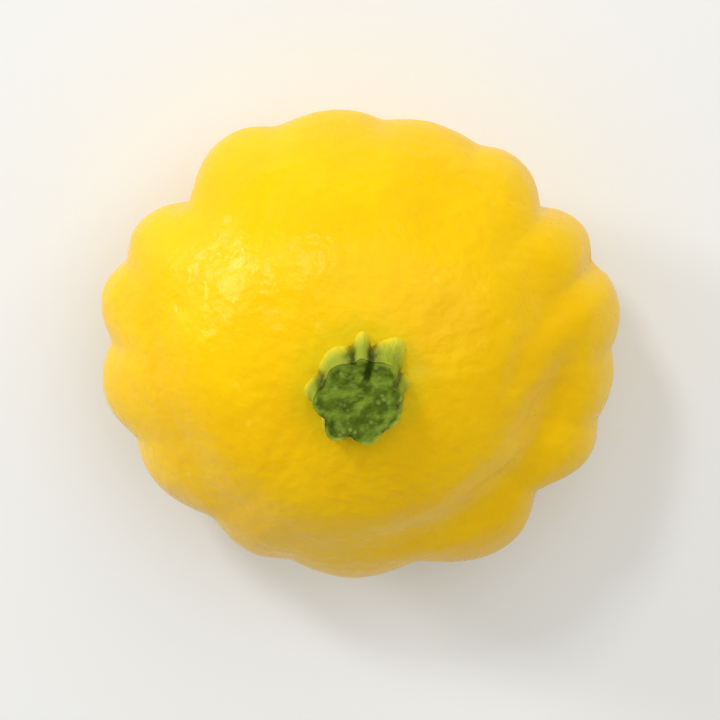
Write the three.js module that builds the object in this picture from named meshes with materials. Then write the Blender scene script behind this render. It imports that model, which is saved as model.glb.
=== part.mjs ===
// A yellow pattypan squash as picked: one scalloped, saucer-shaped fruit that rests on its
// blossom end, and the cut stub of its stem on top.
// Units are millimetres and +Z is up. The origin is on the ground, under the middle of the part.
// Directions go round the fruit in degrees, anticlockwise from +X as seen from above.
// Latitudes go down its side in degrees, from 0 at the stem to 180 at the blossom end.

import * as THREE from "three";

// Fruit
const HALF_LENGTH_X = 23.5; // from the axis to the bottom of the rim's grooves, along X
const HALF_LENGTH_Y = 21.6; // the same, along Y
const RIM_HEIGHT = 11.6; // of the widest line, above the ground
const DOME_HEIGHT = 16.9; // from the widest line up to the stem
const SUNK = 0.5; // how much of the round underside the flat blossom end cuts away
const DOME_FULLNESS = 2.1; // 2 is an ellipse, and more is boxier
const BASE_FULLNESS = 1.95;
const APEX_SHIFT = new THREE.Vector2(-0.8, -0.2); // the stem stands a little off the middle

// Scallops: each lobe runs from its own groove to the next one's. A groove is how far the
// bottom of the groove stands out from the smooth body, and a crest the same for the lobe.
// The spread is how many degrees of latitude the lobe takes to fade out up the dome, and the
// waist is how deep the hollow is above it.
const LOBES = [
  { from: 0, groove: 0.3, crest: 1.35, spread: 26, waist: 1.5 },
  { from: 23, groove: 0.1, crest: 0.8, spread: 28, waist: 1.2 },
  { from: 42, groove: -1.1, crest: 0.75, spread: 23, waist: 0.9 },
  { from: 64, groove: 0.3, crest: 0.8, spread: 16, waist: 0.7 },
  { from: 86, groove: 0.4, crest: 1.4, spread: 15, waist: 0.6 },
  { from: 110, groove: 1.2, crest: 1.95, spread: 15, waist: 0.6 },
  { from: 137, groove: -0.5, crest: 1.75, spread: 16, waist: 0.6 },
  { from: 158, groove: 1.3, crest: 2.4, spread: 16, waist: 0.7 },
  { from: 178, groove: 1.2, crest: 2.65, spread: 16, waist: 0.8 },
  { from: 203, groove: 1.1, crest: 1.7, spread: 17, waist: 0.9 },
  { from: 230, groove: 0.0, crest: 1.8, spread: 16, waist: 0.8 },
  { from: 252, groove: 0.85, crest: 1.7, spread: 16, waist: 0.7 },
  { from: 282, groove: 0.1, crest: 2.25, spread: 17, waist: 0.9 },
  { from: 319, groove: -0.9, crest: 1.25, spread: 22, waist: 1.7 },
  { from: 342, groove: 0.4, crest: 0.75, spread: 26, waist: 1.8 },
];
const LOBE_ROUNDNESS = 2; // higher makes flatter crests and tighter grooves
const GROOVE_SOFTNESS = 0.22; // rounds the bottom of each groove
const LOBE_LATITUDE = 93; // where the lobes are highest
const LOBE_SPREAD_DOWN = 27; // how far they fade down the underside, in degrees of latitude
const RIB_SHARE = 0.1; // the faint ribs over the body, as a share of the lobes they carry on from

// Waist: the hollow that runs round the dome just inside the lobes.
const WAIST_LATITUDE = 52;
const WAIST_SPREAD = 15;

// Stem
const STEM_HEIGHT = 3.7; // from its foot up to the cut
const STEM_LEAN = new THREE.Vector2(0.1, -0.1); // sideways move of the cut
const GAP = 0.3; // clearance between the stem and the fruit

// Ridges down the stem: each runs from its own groove to the next one's. Its toe is how far its
// foot reaches from the stem's axis over the fruit, and its corner how far its end at the cut does.
const RIDGES = [
  { from: 22, toe: 5.9, corner: 4.1 },
  { from: 74, toe: 5.6, corner: 3.6 },
  { from: 100, toe: 4.4, corner: 3.6 },
  { from: 160, toe: 5.0, corner: 4.2 },
  { from: 210, toe: 4.9, corner: 4.4 },
  { from: 256, toe: 4.5, corner: 4.0 },
  { from: 310, toe: 4.5, corner: 3.8 },
  { from: 352, toe: 4.8, corner: 3.8 },
];
const STUB_GROOVE = 3.2; // how far the bottoms of the grooves are from the axis, at the cut
const TOE_GROOVE = 3.9; // the same, at the foot
const TOE_HEIGHT = 1.5; // how far up the stem its foot widens
const RIDGE_ROUNDNESS = 1.6;
const RIDGE_SOFTNESS = 0.2;

// Mesh fineness
const FRUIT_COLUMNS = 150;
const FRUIT_ROWS = 36;
const STEM_COLUMNS = 96;
const STEM_SIDE_ROWS = 8;

const FULL_TURN = 360;
const radians = THREE.MathUtils.degToRad;

function bell(offset, spread) {
  return Math.exp(-((offset / spread) ** 2));
}

// The two entries of a rising list of directions that hold a direction between them, as their
// indices, and the share of the way from the first to the second.
function between(directions, direction) {
  const after = directions.findIndex((start) => start > direction);
  const next = after < 0 ? 0 : after;
  const last = (next + directions.length - 1) % directions.length;
  const width = THREE.MathUtils.euclideanModulo(directions[next] - directions[last], FULL_TURN);
  const along = THREE.MathUtils.euclideanModulo(direction - directions[last], FULL_TURN);
  return { last, next, share: along / width };
}

// 0 at both ends of a lobe and 1 in its middle, with rounded feet.
function arch(share, roundness, softness) {
  const plain = 1 - Math.abs(2 * share - 1) ** roundness;
  return (Math.hypot(plain, softness) - softness) / (Math.hypot(1, softness) - softness);
}

// How far the scalloped rim stands out from the smooth body in a direction, how far it spreads up
// the dome there, and how deep the waist above it is.
function scallop(direction) {
  const { last, next, share } = between(LOBES.map((lobe) => lobe.from), direction);
  const [lobe, following] = [LOBES[last], LOBES[next]];
  const floor = THREE.MathUtils.lerp(lobe.groove, following.groove, share);
  const rise = lobe.crest - (lobe.groove + following.groove) / 2;
  const ease = THREE.MathUtils.smoothstep(share, 0, 1);
  return {
    reach: floor + rise * arch(share, LOBE_ROUNDNESS, GROOVE_SOFTNESS),
    spread: THREE.MathUtils.lerp(lobe.spread, following.spread, ease),
    waist: THREE.MathUtils.lerp(lobe.waist, following.waist, ease),
  };
}

// How far the skin stands out from the smooth body.
function relief(latitude, direction) {
  const { reach, spread, waist } = scallop(direction);
  const fading = bell(latitude - LOBE_LATITUDE, latitude < LOBE_LATITUDE ? spread : LOBE_SPREAD_DOWN);
  const rib = RIB_SHARE * Math.sin(radians(latitude)) ** 2;
  return reach * (fading + rib) - waist * bell(latitude - WAIST_LATITUDE, WAIST_SPREAD);
}

// The smooth body at a latitude: its radius as a share of the rim's, and its height.
function bodyPoint(latitude) {
  const onDome = latitude < 90;
  const power = 2 / (onDome ? DOME_FULLNESS : BASE_FULLNESS);
  const reach = Math.abs(Math.cos(radians(latitude))) ** power;
  const height = onDome ? DOME_HEIGHT * reach : -(RIM_HEIGHT + SUNK) * reach;
  return new THREE.Vector2(Math.sin(radians(latitude)) ** power, RIM_HEIGHT + height);
}

// The direction square to the smooth body at a latitude: outward along its radius, and up.
function bodyNormal(latitude) {
  const step = 0.5;
  const above = bodyPoint(Math.max(0, latitude - step));
  const below = bodyPoint(Math.min(180, latitude + step));
  return new THREE.Vector2(above.y - below.y, (below.x - above.x) * HALF_LENGTH_X).normalize();
}

function fruitPoint(latitude, direction) {
  const body = bodyPoint(latitude);
  const normal = bodyNormal(latitude);
  const out = relief(latitude, direction);
  const lift = Math.max(0, (body.y - RIM_HEIGHT) / DOME_HEIGHT);
  const x = (HALF_LENGTH_X * body.x + out * normal.x) * Math.cos(radians(direction));
  const y = (HALF_LENGTH_Y * body.x + out * normal.x) * Math.sin(radians(direction));
  const z = Math.max(0, body.y + out * normal.y);
  return new THREE.Vector3(x + APEX_SHIFT.x * lift, y + APEX_SHIFT.y * lift, z);
}

// The dome's height over the ground at a distance from its axis, for the stem to stand on.
function domeHeight(distance) {
  const share = distance / HALF_LENGTH_Y;
  return RIM_HEIGHT + DOME_HEIGHT * (1 - share ** DOME_FULLNESS) ** (1 / DOME_FULLNESS);
}

// A closed skin wrapped round +Z from rows of vertices, each placed by place(row, direction).
// The first row has to be at the bottom, and it and the last one have to come to a point.
function wrappedSkin(rowCount, columns, place) {
  const outline = Array.from({ length: rowCount }, (_, row) => new THREE.Vector2(1, row));
  const geometry = new THREE.LatheGeometry(outline, columns);
  const position = geometry.getAttribute("position");
  for (let i = 0; i < position.count; i++) {
    const column = Math.floor(i / rowCount) % columns;
    const vertex = place(i % rowCount, (column * FULL_TURN) / columns);
    position.setXYZ(i, vertex.x, vertex.y, vertex.z);
  }
  geometry.computeVertexNormals();
  return geometry;
}

function makeFruit() {
  const geometry = wrappedSkin(FRUIT_ROWS + 1, FRUIT_COLUMNS, (row, direction) => {
    const latitude = 180 * (1 - row / FRUIT_ROWS);
    return fruitPoint(latitude, direction);
  });
  const skin = new THREE.MeshStandardMaterial({ color: 0xfacb08, roughness: 0.4, metalness: 0 });
  const fruit = new THREE.Mesh(geometry, skin);
  fruit.name = "fruit";
  return fruit;
}

// The rows of the stem from the middle of its foot to the middle of the cut: how far out and how
// far up each one is, as shares.
function stemRows() {
  const sides = Array.from({ length: STEM_SIDE_ROWS + 1 }, (_, row) => [1, row / STEM_SIDE_ROWS]);
  return [[0, 0], [0.5, 0], ...sides, [0.5, 1], [0, 1]];
}

// How far the stem reaches from its axis in a direction, at a share of its height.
function stemRadius(direction, up) {
  const { last, share } = between(RIDGES.map((ridge) => ridge.from), direction);
  const ridge = arch(share, RIDGE_ROUNDNESS, RIDGE_SOFTNESS);
  const stub = THREE.MathUtils.lerp(STUB_GROOVE, RIDGES[last].corner, ridge);
  const toe = THREE.MathUtils.lerp(TOE_GROOVE, RIDGES[last].toe, ridge);
  return THREE.MathUtils.lerp(stub, toe, bell(up * STEM_HEIGHT, TOE_HEIGHT));
}

function makeStem() {
  const rows = stemRows();
  const geometry = wrappedSkin(rows.length, STEM_COLUMNS, (row, direction) => {
    const [out, up] = rows[row];
    const radius = out * stemRadius(direction, up);
    const x = radius * Math.cos(radians(direction)) + STEM_LEAN.x * up;
    const y = radius * Math.sin(radians(direction)) + STEM_LEAN.y * up;
    const ground = THREE.MathUtils.lerp(domeHeight(radius), domeHeight(0), up);
    return new THREE.Vector3(x, y, ground + GAP + STEM_HEIGHT * up);
  });
  const green = new THREE.MeshStandardMaterial({ color: 0x6d8a2c, roughness: 0.7, metalness: 0 });
  const stem = new THREE.Mesh(geometry, green);
  stem.name = "stem";
  stem.position.set(APEX_SHIFT.x, APEX_SHIFT.y, 0);
  return stem;
}

const squash = new THREE.Group();
squash.add(makeFruit(), makeStem());

// The origin is under the middle of the whole part's box.
const box = new THREE.Box3().setFromObject(squash);
const middle = box.getCenter(new THREE.Vector3());
squash.position.set(-middle.x, -middle.y, -box.min.z);
squash.updateMatrixWorld(true);

export default squash;
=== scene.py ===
"""The looks of a yellow pattypan squash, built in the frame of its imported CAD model.

Blender works in metres. Sizes here are in millimetres until a mesh or a material is made.
Directions go round the fruit in degrees, anticlockwise from +X as seen from above, and latitudes
go down its side, from 0 at the stem to 180 at the blossom end.
"""

import math

import bpy
import numpy as np
from mathutils import Matrix, Vector, noise


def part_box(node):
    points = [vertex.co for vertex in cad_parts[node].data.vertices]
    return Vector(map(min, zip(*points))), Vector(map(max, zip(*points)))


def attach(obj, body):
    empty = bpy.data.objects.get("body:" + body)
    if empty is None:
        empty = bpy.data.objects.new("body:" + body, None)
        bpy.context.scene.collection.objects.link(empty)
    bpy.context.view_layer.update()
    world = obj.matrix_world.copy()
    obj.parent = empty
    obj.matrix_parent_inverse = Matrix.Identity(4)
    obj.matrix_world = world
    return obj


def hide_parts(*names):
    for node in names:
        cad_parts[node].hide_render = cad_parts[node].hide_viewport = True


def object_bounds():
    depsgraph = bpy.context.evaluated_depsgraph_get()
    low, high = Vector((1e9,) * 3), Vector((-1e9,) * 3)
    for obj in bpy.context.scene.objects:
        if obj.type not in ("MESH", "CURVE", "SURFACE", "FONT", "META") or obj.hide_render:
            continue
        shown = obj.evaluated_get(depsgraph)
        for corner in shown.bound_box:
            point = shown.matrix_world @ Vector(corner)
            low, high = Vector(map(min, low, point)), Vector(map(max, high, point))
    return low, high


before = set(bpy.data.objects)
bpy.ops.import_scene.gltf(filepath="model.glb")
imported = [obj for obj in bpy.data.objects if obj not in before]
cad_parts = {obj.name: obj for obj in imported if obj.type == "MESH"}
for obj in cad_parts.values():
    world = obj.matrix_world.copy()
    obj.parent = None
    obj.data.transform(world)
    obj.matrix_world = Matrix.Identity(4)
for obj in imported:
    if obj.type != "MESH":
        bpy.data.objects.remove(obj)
cad_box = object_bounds()

MM = 0.001
FULL_TURN = 360

# Fruit: the same smooth body as the CAD solid's. Its bottom would be sunk so far below the floor,
# and is made flat there. A fullness of 2 is an ellipse's. The apex is shifted from the middle.
HALF_LENGTH_X = 23.5
HALF_LENGTH_Y = 21.6
RIM_HEIGHT = 11.6
DOME_HEIGHT = 16.9
SUNK = 0.5
DOME_FULLNESS = 2.1
BASE_FULLNESS = 1.95
APEX_SHIFT = (-0.8, -0.2)

# Scallops. For each lobe: where it starts, how far out the groove there is, how far out its own
# crest is, how many degrees of latitude it takes to fade out up the dome, and how deep the waist
# is above it.
LOBES = (
    (0, 0.3, 1.35, 26, 1.5),
    (23, 0.1, 0.8, 28, 1.2),
    (42, -1.1, 0.75, 23, 0.9),
    (64, 0.3, 0.8, 16, 0.7),
    (86, 0.4, 1.4, 15, 0.6),
    (110, 1.2, 1.95, 15, 0.6),
    (137, -0.5, 1.75, 16, 0.6),
    (158, 1.3, 2.4, 16, 0.7),
    (178, 1.2, 2.65, 16, 0.8),
    (203, 1.1, 1.7, 17, 0.9),
    (230, 0.0, 1.8, 16, 0.8),
    (252, 0.85, 1.7, 16, 0.7),
    (282, 0.1, 2.25, 17, 0.9),
    (319, -0.9, 1.25, 22, 1.7),
    (342, 0.4, 0.75, 26, 1.8),
)
LOBE_ROUNDNESS = 2.0
GROOVE_SOFTNESS = 0.22

# The lobes are at their full size at this latitude and fade out below it, all at one rate. A
# share of them goes on up the dome and under the fruit as faint ribs.
LOBE_LATITUDE = 93
LOBE_SPREAD_DOWN = 27
RIB_SHARE = 0.1

# Waist: the hollow round the dome, just inside the lobes.
WAIST_LATITUDE = 52
WAIST_SPREAD = 15

# Folds in the skin. For each one: its line as seen from above, its half width, and how far it
# stands out of the skin.
FOLDS = (
    (((21.1, 8.1), (17.0, 5.4), (14.3, 3.2), (13.2, -0.5)), 1.3, -0.3),
    (((22.3, 6.5), (17.7, 3.0), (16.2, -0.4)), 1.5, 0.3),
    (((16.6, -4.4), (14.7, -7.0), (12.8, -8.8)), 0.9, 0.2),
    (((-9.1, 15.3), (-7.8, 7.0)), 1.2, -0.16),
    (((17.8, -2.5), (15.8, -8.5), (11.0, -13.5), (4.5, -16.5)), 2.3, -0.55),
)

# Unevenness of the skin in the mesh: how wide the swellings of each kind are, and how high.
SWELLINGS = ((11.0, 0.3), (4.5, 0.12), (2.0, 0.04), (1.1, 0.04))

# Blossom scar: a corky hollow in the middle of the underside. It is at its full depth inside a
# share of its radius, but for swellings of its own.
SCAR_RADIUS = 3.4
SCAR_FLOOR_SHARE = 0.6
SCAR_DEPTH = 0.55
SCAR_SWELLINGS = ((1.4, 0.2), (0.6, 0.1))

FRUIT_COLUMNS = 400
FRUIT_ROWS = 220

# Stem. For each ridge: where it starts, how far its toe reaches over the fruit, and how far out
# its corner of the cut is.
RIDGES = (
    (22, 5.9, 4.1),
    (74, 5.3, 3.7),
    (100, 4.4, 3.6),
    (160, 5.0, 4.2),
    (210, 4.9, 4.4),
    (256, 4.5, 4.0),
    (310, 4.5, 3.8),
    (352, 4.8, 3.8),
)
STUB_GROOVE = 3.4
TOE_GROOVE = 3.9
RIDGE_ROUNDNESS = 1.6
RIDGE_SOFTNESS = 0.2
STEM_HEIGHT = 3.9
STEM_SUNK = 0.4
TOE_HEIGHT = 1.5
STEM_LEAN = (0.1, -0.1)

# Unevenness of the stem, in the height of its top and in the reach of its side. The side's
# swellings are drawn out upward, from this height to the stem's.
TOP_SWELLINGS = ((2.2, 0.22), (0.8, 0.1))
SIDE_SWELLINGS = ((1.5, 0.2), (0.6, 0.07))
SIDE_SWELLINGS_HEIGHT = 2

# Cut face of the stem: rounded over an outer share of its radius, hollow inside, and slit.
CUT_EDGE_SHARE = 0.25
CUT_ROUNDING = 0.25
CUT_HOLLOW = 0.35
SLIT = ((1.2, 4.6), (0.7, 1.7))
SLIT_WIDTH = 0.28
SLIT_DEPTH = 0.6

STEM_COLUMNS = 320
STEM_FOOT_ROWS = 6
STEM_SIDE_ROWS = 56
STEM_CAP_ROWS = 44

# The middle of a noise's range, over which one colour gives way to another.
EVEN_SPLIT = (0.35, 0.65)

# Skin: its colours, and the widths of its markings.
LEMON = (0.95, 0.595, 0.0002, 1)
GOLD = (0.90, 0.54, 0.0003, 1)
PALE_FLECK = (0.95, 0.66, 0.04, 1)
YOUNG_GREEN = (0.50, 0.52, 0.006, 1)
WAX_TINT = (1, 0.94, 0.6, 1)
SCAR_TAN = (0.42, 0.27, 0.09, 1)
SCAR_BROWN = (0.20, 0.11, 0.035, 1)
SCAR_GREEN = (0.52, 0.50, 0.05, 1)
MOTTLE_WIDTH = 9.0
GRAIN_WIDTH = 0.9
FLECK_WIDTH = 2.1
FLECKED_WIDTH = 7.0
RAGGED_WIDTH = 0.8
CORK_WIDTH = 0.7
GLOSS_WIDTH = 2.5
ROUGHNESS = (0.26, 0.34)

# Patches of colour in the skin. For each one: how far from its middle it begins to fade, how far
# it reaches, how uneven its edge is, and how strong it is.
PALE_SPOT = (0.8, 2.0, 1.6, 0.5)
STEM_HALO = (5.0, 8.5, 2.0, 0.4)
BLOSSOM_HALO = (4.0, 9.0, 1.5, 0.6)
CORK = (SCAR_RADIUS + 0.2, SCAR_RADIUS + 1.0, 1.5, 0.9)
PALE_SPOT_PLACE = (5.6, 1.2)

# Relief of the skin that is finer than the mesh. The wrinkles are stretched round the fruit, and
# are on the side that faces their direction. All of it is at its full depth on the dome, and
# fades between two heights to a share below the rim.
PEEL_WIDTH = 1.1
PEEL_DEPTH = 0.12
PIT_WIDTH = 0.8
PIT_DEPTH = 0.03
WRINKLE_WIDTH = 1.7
WRINKLE_DEPTH = 0.13
WRINKLE_DIRECTION = -62
WRINKLE_STRETCH = 8.0
FADED_HEIGHT = 0.8 * RIM_HEIGHT
FULL_HEIGHT = 1.5 * RIM_HEIGHT
FADED_SHARE = 0.2

# Light in the flesh under the skin: its share, how far each colour goes, and the scale of that.
FLESH_WEIGHT = 0.12
FLESH_RADIUS = (1.0, 0.5, 0.05)
FLESH_SCALE = 1.5

# Stem: its colours, and the widths of its markings.
VALLEY_GREEN = (0.035, 0.065, 0.002, 1)
RIDGE_GREEN = (0.29, 0.37, 0.022, 1)
PALE_FIBRE = (0.34, 0.38, 0.08, 1)
TOE_YELLOW = (0.82, 0.68, 0.03, 1)
FACE_DARK = (0.065, 0.105, 0.002, 1)
FACE_LIGHT = (0.18, 0.27, 0.02, 1)
FIBRE_DOT = (0.24, 0.32, 0.06, 1)
FIBRE_WIDTH = 0.45
FIBRE_DEPTH = 0.2
FIBRE_SQUEEZE = (1, 1, 0.2)
FACE_MOTTLE_WIDTH = 1.1
DOT_WIDTH = 0.8

# Camera: how far off the vertical it leans, its lens and sensor, and about how much of the
# picture's width the fruit takes.
CAMERA_TILT = 13.0
CAMERA_LENS = 90.0
SENSOR_WIDTH = 36.0
FRAME_FILL = 0.74

# Soft boxes. For each one: how far off the vertical it is and in which direction, its distance
# and its side in metres, its power in watts, and its colour.
LIGHTS = (
    ("window_light", 72, 149, 0.6, 0.12, 1.25, (1, 1, 0.98)),
    ("panel_light", 49, 121, 0.8, 0.12, 1.45, (1, 1, 0.99)),
    ("room_light", 36, 58, 0.9, 0.9, 3.4, (1, 1, 0.99)),
)

# Room and floor. The floor reaches this far to each side, in metres.
ROOM_COLOUR = (1, 0.96, 0.84, 1)
ROOM_STRENGTH = 0.47
FLOOR_COLOUR = (0.88, 0.90, 0.94, 1)
FLOOR_REACH = 2.0


def bell(offset, spread):
    """1 where the offset is 0, and fading to both sides."""
    return np.exp(-((offset / spread) ** 2))


def smooth_step(low, high, value):
    """Goes smoothly from 0 to 1 while the value goes from low to high."""
    share = np.clip((value - low) / (high - low), 0, 1)
    return share * share * (3 - 2 * share)


def between(starts, directions):
    """Which two entries of a rising list hold each direction, and the share of the way across."""
    count = len(starts)
    last = (np.searchsorted(starts, directions, side="right") - 1) % count
    following = (last + 1) % count
    width = (starts[following] - starts[last]) % FULL_TURN
    return last, following, ((directions - starts[last]) % FULL_TURN) / width


def arch(share, roundness, softness):
    """0 at both ends of a lobe and 1 in its middle, with rounded feet."""
    plain = 1 - np.abs(2 * share - 1) ** roundness
    return (np.hypot(plain, softness) - softness) / (math.hypot(1, softness) - softness)


def columns_of(table):
    """Each column of a table, as an array."""
    return (np.array(column, float) for column in zip(*table))


def directions_round(columns):
    """The directions of so many columns, spread evenly."""
    return (np.arange(columns) * FULL_TURN / columns)[None, :]


def scallop(directions):
    """How far the rim stands out in each direction, its spread upward and the waist's depth."""
    starts, grooves, crests, spreads, waists = columns_of(LOBES)
    last, following, share = between(starts, directions)
    floor = grooves[last] * (1 - share) + grooves[following] * share
    rise = crests[last] - (grooves[last] + grooves[following]) / 2
    reach = floor + rise * arch(share, LOBE_ROUNDNESS, GROOVE_SOFTNESS)
    ease = smooth_step(0, 1, share)
    spread = spreads[last] * (1 - ease) + spreads[following] * ease
    waist = waists[last] * (1 - ease) + waists[following] * ease
    return reach, spread, waist


def relief(latitudes, directions):
    """How far the skin stands out from the smooth body."""
    reach, spread_up, waist = scallop(directions)
    spread = np.where(latitudes < LOBE_LATITUDE, spread_up, LOBE_SPREAD_DOWN)
    fade = bell(latitudes - LOBE_LATITUDE, spread) + RIB_SHARE * np.sin(np.radians(latitudes)) ** 2
    return reach * fade - waist * bell(latitudes - WAIST_LATITUDE, WAIST_SPREAD)


def body_point(latitudes):
    """The smooth body at each latitude: its radius as a share of the rim's, and its height."""
    on_dome = latitudes < 90
    power = np.where(on_dome, 2 / DOME_FULLNESS, 2 / BASE_FULLNESS)
    reach = np.abs(np.cos(np.radians(latitudes))) ** power
    height = np.where(on_dome, DOME_HEIGHT * reach, -(RIM_HEIGHT + SUNK) * reach)
    radius = np.abs(np.sin(np.radians(latitudes))) ** power
    return radius, RIM_HEIGHT + height


def body_normal(latitudes, step=0.5):
    """The direction square to the smooth body at each latitude: outward, and up."""
    above_radius, above_height = body_point(np.maximum(0, latitudes - step))
    below_radius, below_height = body_point(np.minimum(180, latitudes + step))
    outward = above_height - below_height
    upward = (below_radius - above_radius) * HALF_LENGTH_X
    length = np.hypot(outward, upward)
    return outward / length, upward / length


def fruit_points(latitudes, directions, out):
    """Where the skin is when it stands out from the smooth body by so much."""
    radius, height = body_point(latitudes)
    outward, upward = body_normal(latitudes)
    lift = np.maximum(0, (height - RIM_HEIGHT) / DOME_HEIGHT)
    angle = np.radians(directions)
    x = (HALF_LENGTH_X * radius + out * outward) * np.cos(angle) + APEX_SHIFT[0] * lift
    y = (HALF_LENGTH_Y * radius + out * outward) * np.sin(angle) + APEX_SHIFT[1] * lift
    return np.stack([x, y, height + out * upward], axis=-1)


def distance_to_line(points, line):
    """How far each point is from a bent line, both as seen from above."""
    nearest = np.full(points.shape[:-1], np.inf)
    for start, end in zip(line, line[1:]):
        along = np.subtract(end, start)
        share = np.clip((points - start) @ along / (along @ along), 0, 1)
        off_line = points - start - share[..., None] * along
        nearest = np.minimum(nearest, np.linalg.norm(off_line, axis=-1))
    return nearest


def folded(points):
    """How far the folds lift the skin at each point."""
    seen = points[..., :2]
    return sum(height * bell(distance_to_line(seen, line), width) for line, width, height in FOLDS)


def unevenness(points, swellings):
    """A smooth random height at each point, made of swellings of several widths."""
    total = np.zeros(points.shape[:-1])
    for width, height in swellings:
        for index in np.ndindex(total.shape):
            total[index] += height * noise.noise(Vector(points[index] / width))
    return total


def wrapped_mesh(name, points):
    """A closed mesh from rows of points round the axis, from the bottom row up.

    The first and the last row have each shrunk to one point.
    """
    columns = points.shape[1]
    vertices = np.concatenate([points[0, :1], points[1:-1].reshape(-1, 3), points[-1, :1]])
    top = len(vertices) - 1
    last_row = top - columns
    faces = []
    for column in range(columns):
        beside = (column + 1) % columns
        faces.append((0, 1 + beside, 1 + column))
        for near in range(1, last_row, columns):
            far = near + columns
            faces.append((near + column, near + beside, far + beside, far + column))
        faces.append((top, last_row + column, last_row + beside))
    mesh = bpy.data.meshes.new(name)
    mesh.from_pydata((vertices * MM).tolist(), [], faces)
    mesh.shade_smooth()
    return mesh


def add_attribute(mesh, name, values):
    """Stores a number for each vertex of a wrapped mesh, from rows like those of its points."""
    flat = np.concatenate([values[0, :1], values[1:-1].ravel(), values[-1, :1]])
    mesh.attributes.new(name, "FLOAT", "POINT").data.foreach_set("value", flat.astype(np.float32))


def centre_on(mesh, node):
    """Moves a mesh sideways, to the middle of the CAD node's place."""
    low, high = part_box(node)
    points = np.array([vertex.co[:] for vertex in mesh.vertices])
    move = (low + high) / 2 - Vector((points.min(axis=0) + points.max(axis=0)) / 2)
    mesh.transform(Matrix.Translation((move.x, move.y, 0)))


def add_piece(name, mesh, node, material):
    """Makes a piece of a mesh, which stands for the CAD node."""
    piece = bpy.data.objects.new(name, mesh)
    bpy.context.scene.collection.objects.link(piece)
    mesh.materials.append(material)
    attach(piece, "root")
    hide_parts(node)


def fruit_mesh():
    """The scalloped fruit, with its folds and swellings, its flat foot and its blossom scar."""
    latitudes = np.linspace(180, 0, FRUIT_ROWS + 1)[:, None]
    directions = directions_round(FRUIT_COLUMNS)
    out = relief(latitudes, directions)
    smooth = fruit_points(latitudes, directions, out)
    out += unevenness(smooth, SWELLINGS) + np.where(latitudes < 90, folded(smooth), 0)
    points = fruit_points(latitudes, directions, out)
    points[..., 2] = np.maximum(points[..., 2], 0)
    radius = np.hypot(smooth[..., 0], smooth[..., 1])
    hollow = smooth_step(SCAR_RADIUS, SCAR_RADIUS * SCAR_FLOOR_SHARE, radius)
    depth = hollow * (SCAR_DEPTH + unevenness(smooth, SCAR_SWELLINGS))
    points[..., 2] += np.where(latitudes > 90, depth, 0)
    return wrapped_mesh("pattypan_fruit", points)


def dome_height(distance):
    """How high the smooth dome is at a distance from its apex."""
    share = distance / HALF_LENGTH_Y
    return RIM_HEIGHT + DOME_HEIGHT * (1 - share**DOME_FULLNESS) ** (1 / DOME_FULLNESS)


def stem_rows():
    """How far out and how far up the stem each row is, as shares, from its foot to the cut."""
    foot = [(row / STEM_FOOT_ROWS, 0) for row in range(STEM_FOOT_ROWS)]
    side = [(1, row / STEM_SIDE_ROWS) for row in range(STEM_SIDE_ROWS + 1)]
    cap = [(1 - row / STEM_CAP_ROWS, 1) for row in range(1, STEM_CAP_ROWS + 1)]
    return (column[:, None] for column in columns_of(foot + side + cap))


def stem_ridges(directions):
    """The stub's and the foot's reach in each direction, and 0 in a groove to 1 on a ridge."""
    starts, toes, corners = columns_of(RIDGES)
    last, _, share = between(starts, directions)
    ridge = arch(share, RIDGE_ROUNDNESS, RIDGE_SOFTNESS)
    stub = STUB_GROOVE + (corners[last] - STUB_GROOVE) * ridge
    foot = TOE_GROOVE + (toes[last] - TOE_GROOVE) * ridge
    return stub, foot, ridge


def cut_depth(out):
    """How far the cut face is below the stem's full height."""
    edge = smooth_step(1 - CUT_EDGE_SHARE, 1, out)
    return CUT_HOLLOW * (1 - edge) + CUT_ROUNDING * edge * edge


def stem_mesh():
    """The ridged stub, with a toe at the foot of each ridge and a slit in its cut face."""
    out, up = stem_rows()
    directions = directions_round(STEM_COLUMNS)
    angle = np.radians(directions)
    stub, foot, ridge = stem_ridges(directions)
    radius = out * (stub + (foot - stub) * bell(up * STEM_HEIGHT, TOE_HEIGHT))
    flank = (radius * np.cos(angle), radius * np.sin(angle), SIDE_SWELLINGS_HEIGHT * up)
    radius += out * unevenness(np.stack(np.broadcast_arrays(*flank), axis=-1), SIDE_SWELLINGS)
    x = radius * np.cos(angle) + STEM_LEAN[0] * up
    y = radius * np.sin(angle) + STEM_LEAN[1] * up
    ground = dome_height(radius) * (1 - up) + dome_height(0) * up
    z = ground + STEM_HEIGHT * up - np.where(up == 1, cut_depth(out), 0)
    points = np.stack([x, y, z], axis=-1)
    slit = bell(distance_to_line(points[..., :2], SLIT), SLIT_WIDTH)
    top = unevenness(points, TOP_SWELLINGS) - SLIT_DEPTH * slit
    points[..., 2] += top * up - STEM_SUNK * (1 - up)
    mesh = wrapped_mesh("pattypan_stem", points)
    for name, values in {"slit": slit * up, "ridge": ridge, "up": up, "out": out}.items():
        add_attribute(mesh, name, np.broadcast_to(values, radius.shape))
    return mesh


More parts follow.
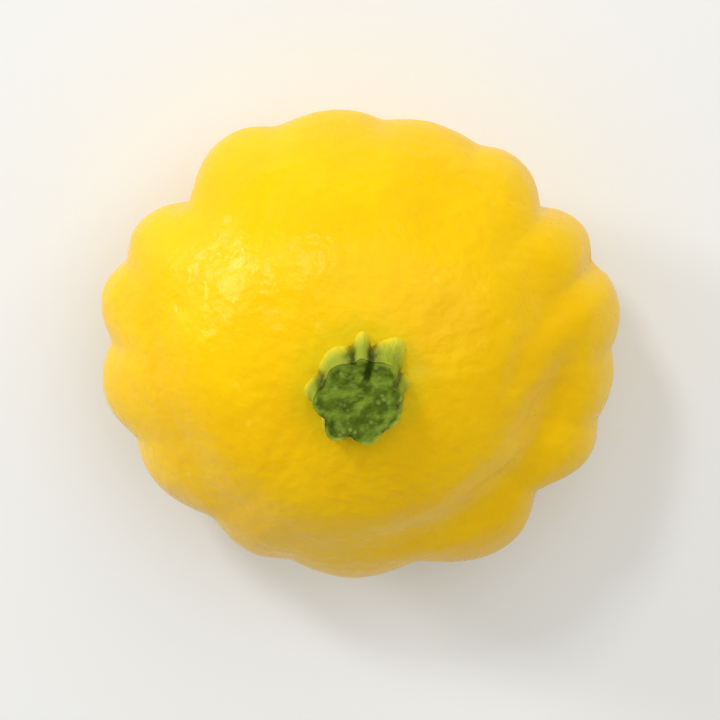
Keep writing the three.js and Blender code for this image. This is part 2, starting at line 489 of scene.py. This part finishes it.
class Graph:
    """Adds nodes to a new material's tree. A node's value can be a number, a colour or an output."""

    def __init__(self, name):
        self.material = bpy.data.materials.new(name)
        self.material.use_nodes = True
        self.tree = self.material.node_tree
        self.shader = self.tree.nodes["Principled BSDF"]

    def feed(self, socket, value):
        if isinstance(value, bpy.types.NodeSocket):
            self.tree.links.new(value, socket)
        else:
            socket.default_value = value

    def add(self, kind, inputs, **settings):
        node = self.tree.nodes.new(kind)
        for key, value in settings.items():
            setattr(node, key, value)
        for key, value in inputs.items():
            self.feed(node.inputs[key], value)
        return node

    def finish(self, inputs):
        """Sets or links inputs of the shader, and gives the material."""
        for key, value in inputs.items():
            self.feed(self.shader.inputs[key], value)
        return self.material

    def place(self):
        return self.add("ShaderNodeTexCoord", {}).outputs["Object"]

    def parts(self, vector):
        return self.add("ShaderNodeSeparateXYZ", {"Vector": vector}).outputs

    def attribute(self, name):
        return self.add("ShaderNodeAttribute", {}, attribute_name=name).outputs["Fac"]

    def calculate(self, operation, *values):
        return self.add("ShaderNodeMath", dict(enumerate(values)), operation=operation).outputs[0]

    def vector(self, operation, *values):
        return self.add("ShaderNodeVectorMath", dict(enumerate(values)), operation=operation)

    def distance(self, place, point):
        return self.vector("DISTANCE", place, point).outputs["Value"]

    def noise(self, place, width, detail=2.0, distortion=0.0):
        inputs = {"Vector": place, "Scale": 1 / (width * MM)}
        inputs |= {"Detail": detail, "Distortion": distortion}
        return self.add("ShaderNodeTexNoise", inputs).outputs["Fac"]

    def spots(self, place, width, feature="F1"):
        inputs = {"Vector": place, "Scale": 1 / (width * MM)}
        return self.add("ShaderNodeTexVoronoi", inputs, feature=feature).outputs["Distance"]

    def ramp(self, value, low, high, start=0.0, end=1.0):
        """Goes smoothly from start to end while the value goes from low to high."""
        inputs = {"Value": value, "From Min": low, "From Max": high, "To Min": start, "To Max": end}
        node = self.add("ShaderNodeMapRange", inputs, interpolation_type="SMOOTHSTEP")
        return node.outputs["Result"]

    def blend(self, share, first, second):
        """Goes from the first colour to the second while the share goes from 0 to 1."""
        node = self.add("ShaderNodeMix", {}, data_type="RGBA")
        sockets = {socket.identifier: socket for socket in (*node.inputs, *node.outputs)}
        for key, value in {"Factor_Float": share, "A_Color": first, "B_Color": second}.items():
            self.feed(sockets[key], value)
        return sockets["Result_Color"]

    def patch(self, colour, tint, middle, near, far, raggedness, strength):
        """Lays a patch of another colour round a point, with an uneven edge."""
        place = self.place()
        ragged = self.noise(place, RAGGED_WIDTH, 3.0)
        away = self.calculate("MULTIPLY_ADD", ragged, raggedness * MM, self.distance(place, middle))
        return self.blend(self.ramp(away, near * MM, far * MM, strength, 0.0), colour, tint)

    def bump(self, height, depth):
        """Raises the surface by depth millimetres where the height is 1."""
        inputs = {"Height": height, "Distance": depth * MM, "Strength": 1.0}
        return self.add("ShaderNodeBump", inputs).outputs["Normal"]


def plain_skin_colour(graph, place):
    """Two yellows in broad and in fine patches, and pale flecks here and there."""
    mottle = graph.ramp(graph.noise(place, MOTTLE_WIDTH, 3.0), *EVEN_SPLIT)
    colour = graph.blend(mottle, LEMON, GOLD)
    grain = graph.ramp(graph.noise(place, GRAIN_WIDTH, 3.0), 0.3, 0.7, end=0.4)
    colour = graph.blend(grain, colour, GOLD)
    fleck = graph.ramp(graph.spots(place, FLECK_WIDTH), 0.08, 0.22, 0.5, 0.0)
    flecked = graph.ramp(graph.noise(place, FLECKED_WIDTH, 1.0), 0.5, 0.72)
    return graph.blend(graph.calculate("MULTIPLY", fleck, flecked), colour, PALE_FLECK)


def skin_colour(graph, place, apex, scar):
    """Yellow, with a pale spot and a green halo near the stem, and a corky scar at the other end."""
    pale_spot = apex + Vector((*PALE_SPOT_PLACE, 0)) * MM
    cork = graph.ramp(graph.noise(place, CORK_WIDTH, 3.0), *EVEN_SPLIT)
    cork = graph.blend(cork, SCAR_TAN, SCAR_BROWN)
    colour = plain_skin_colour(graph, place)
    colour = graph.patch(colour, PALE_FLECK, pale_spot, *PALE_SPOT)
    colour = graph.patch(colour, YOUNG_GREEN, apex, *STEM_HALO)
    colour = graph.patch(colour, SCAR_GREEN, scar, *BLOSSOM_HALO)
    return graph.patch(colour, cork, scar, *CORK)


def wrinkles(graph, place, apex):
    """Wrinkles that run round the fruit, on one side of it."""
    parts = graph.parts(graph.vector("SUBTRACT", place, apex).outputs["Vector"])
    turn = graph.calculate("ARCTAN2", parts["Y"], parts["X"])
    around = graph.calculate("MULTIPLY", turn, WRINKLE_STRETCH * MM)
    unrolled = graph.add("ShaderNodeCombineXYZ", {"X": around, "Y": graph.distance(place, apex)})
    lines = graph.noise(unrolled.outputs["Vector"], WRINKLE_WIDTH, 3.0, 0.6)
    off_side = graph.calculate("SUBTRACT", turn, math.radians(WRINKLE_DIRECTION))
    depth = graph.ramp(graph.calculate("COSINE", off_side), 0.1, 0.8, end=WRINKLE_DEPTH)
    return graph.calculate("MULTIPLY", lines, depth)


def skin_texture(graph, place, apex):
    """The height of the orange peel, the pits and the wrinkles, all of them less below the rim."""
    peel = graph.calculate("MULTIPLY", graph.noise(place, PEEL_WIDTH), PEEL_DEPTH)
    pits = graph.spots(place, PIT_WIDTH, "SMOOTH_F1")
    pitted = graph.calculate("MULTIPLY_ADD", pits, PIT_DEPTH, peel)
    texture = graph.calculate("ADD", pitted, wrinkles(graph, place, apex))
    height = graph.parts(place)["Z"]
    on_dome = graph.ramp(height, FADED_HEIGHT * MM, FULL_HEIGHT * MM, FADED_SHARE)
    return graph.calculate("MULTIPLY", texture, on_dome)


def skin_material(apex, scar):
    """Waxy yellow skin, lit a little from under its surface."""
    graph = Graph("waxy_yellow_skin")
    place = graph.place()
    inputs = {
        "Base Color": skin_colour(graph, place, apex, scar),
        "Roughness": graph.ramp(graph.noise(place, GLOSS_WIDTH), 0.3, 0.7, *ROUGHNESS),
        "Normal": graph.bump(skin_texture(graph, place, apex), 1.0),
        "Specular IOR Level": 0.2,
        "Specular Tint": WAX_TINT,
        "Subsurface Weight": FLESH_WEIGHT,
        "Subsurface Radius": FLESH_RADIUS,
        "Subsurface Scale": FLESH_SCALE * MM,
    }
    return graph.finish(inputs)


def stem_side_colour(graph, fibres, up):
    """Dark green in the grooves, light green with fibres on the ridges, and yellow toes."""
    ridge = graph.attribute("ridge")
    colour = graph.blend(graph.ramp(ridge, 0.0, 0.8), VALLEY_GREEN, RIDGE_GREEN)
    colour = graph.blend(graph.ramp(fibres, 0.4, 0.7, end=0.45), colour, PALE_FIBRE)
    low_down = graph.ramp(up, 0.0, 0.5, 1.0, 0.0)
    toe = graph.calculate("MULTIPLY", low_down, graph.ramp(ridge, 0.0, 0.5, 0.35, 1.0))
    return graph.blend(toe, colour, TOE_YELLOW)


def stem_face_colour(graph, place):
    """Two dark greens, with the ends of the fibres as light dots."""
    mottle = graph.ramp(graph.noise(place, FACE_MOTTLE_WIDTH, 3.0), *EVEN_SPLIT)
    colour = graph.blend(mottle, FACE_DARK, FACE_LIGHT)
    dots = graph.ramp(graph.spots(place, DOT_WIDTH), 0.1, 0.35, 0.6, 0.0)
    return graph.blend(dots, colour, FIBRE_DOT)


def stem_material():
    """Green stem with upright fibres, and a darker cut face."""
    graph = Graph("fibrous_green_stem")
    place = graph.place()
    up = graph.attribute("up")
    upright = graph.vector("MULTIPLY", place, FIBRE_SQUEEZE).outputs["Vector"]
    fibres = graph.noise(upright, FIBRE_WIDTH, 3.0)
    inside = graph.ramp(graph.attribute("out"), 0.9, 0.98, 1.0, 0.0)
    on_face = graph.calculate("MULTIPLY", inside, graph.ramp(up, 0.97, 1.0))
    side = stem_side_colour(graph, fibres, up)
    colour = graph.blend(on_face, side, stem_face_colour(graph, place))
    colour = graph.blend(graph.attribute("slit"), colour, VALLEY_GREEN)
    inputs = {"Base Color": colour, "Normal": graph.bump(fibres, FIBRE_DEPTH)}
    inputs |= {"Roughness": 0.65, "Specular IOR Level": 0.15}
    return graph.finish(inputs)


def make_squash(ground):
    """The fruit and its stem, each in the place of its CAD node."""
    fruit = fruit_mesh()
    stem = stem_mesh()
    centre_on(fruit, "fruit")
    centre_on(stem, "stem")
    stem_low, stem_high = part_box("stem")
    apex = (stem_low + stem_high) / 2
    apex.z = stem_low.z
    scar = Vector((*fruit.vertices[0].co.xy, ground))
    add_piece("pattypan_fruit", fruit, "fruit", skin_material(apex, scar))
    add_piece("pattypan_stem", stem, "stem", stem_material())


def make_camera(low, high):
    """Looks down on the stem, leaning so that the stem shows below the middle of the fruit."""
    camera = bpy.data.cameras.new("camera")
    camera.lens = CAMERA_LENS
    camera.sensor_width = SENSOR_WIDTH
    tilt = math.radians(CAMERA_TILT)
    right = Vector((1, 0, 0))
    back = Vector((0, math.sin(tilt), math.cos(tilt)))
    turn = Matrix((right, back.cross(right), back)).transposed().to_4x4()
    distance = (high.x - low.x) / FRAME_FILL * CAMERA_LENS / SENSOR_WIDTH
    place = (low + high) / 2 + back * distance
    holder = bpy.data.objects.new("camera", camera)
    holder.matrix_world = Matrix.Translation(place) @ turn
    bpy.context.scene.collection.objects.link(holder)
    bpy.context.scene.camera = holder


def make_floor():
    """A plain pale floor, level with the fruit's foot."""
    corners = [(x * FLOOR_REACH, y * FLOOR_REACH, 0) for x, y in ((-1, -1), (1, -1), (1, 1), (-1, 1))]
    mesh = bpy.data.meshes.new("floor")
    mesh.from_pydata(corners, [], [(0, 1, 2, 3)])
    mesh.materials.append(Graph("pale_floor").finish({"Base Color": FLOOR_COLOUR, "Roughness": 0.8}))
    floor = bpy.data.objects.new("floor", mesh)
    bpy.context.scene.collection.objects.link(floor)


def make_world():
    """Even light from the whole room."""
    world = bpy.data.worlds.new("studio")
    bpy.context.scene.world = world
    world.use_nodes = True
    background = world.node_tree.nodes["Background"]
    background.inputs["Color"].default_value = ROOM_COLOUR
    background.inputs["Strength"].default_value = ROOM_STRENGTH


def add_light(target, name, polar, direction, distance, side, power, colour):
    """A square soft box, aimed at the target."""
    light = bpy.data.lights.new(name, "AREA")
    light.shape = "SQUARE"
    light.size = side
    light.energy = power
    light.color = colour
    lamp = bpy.data.objects.new(name, light)
    bpy.context.scene.collection.objects.link(lamp)
    tilt, turn = math.radians(polar), math.radians(direction)
    away = Vector((math.sin(tilt) * math.cos(turn), math.sin(tilt) * math.sin(turn), math.cos(tilt)))
    lamp.location = target + away * distance
    lamp.rotation_mode = "QUATERNION"
    lamp.rotation_quaternion = away.to_track_quat("Z", "Y")


low, high = cad_box
make_camera(low, high)
make_squash(low.z)
make_floor()
make_world()
for light in LIGHTS:
    add_light((low + high) / 2, *light)
bpy.context.scene.view_settings.view_transform = "Standard"
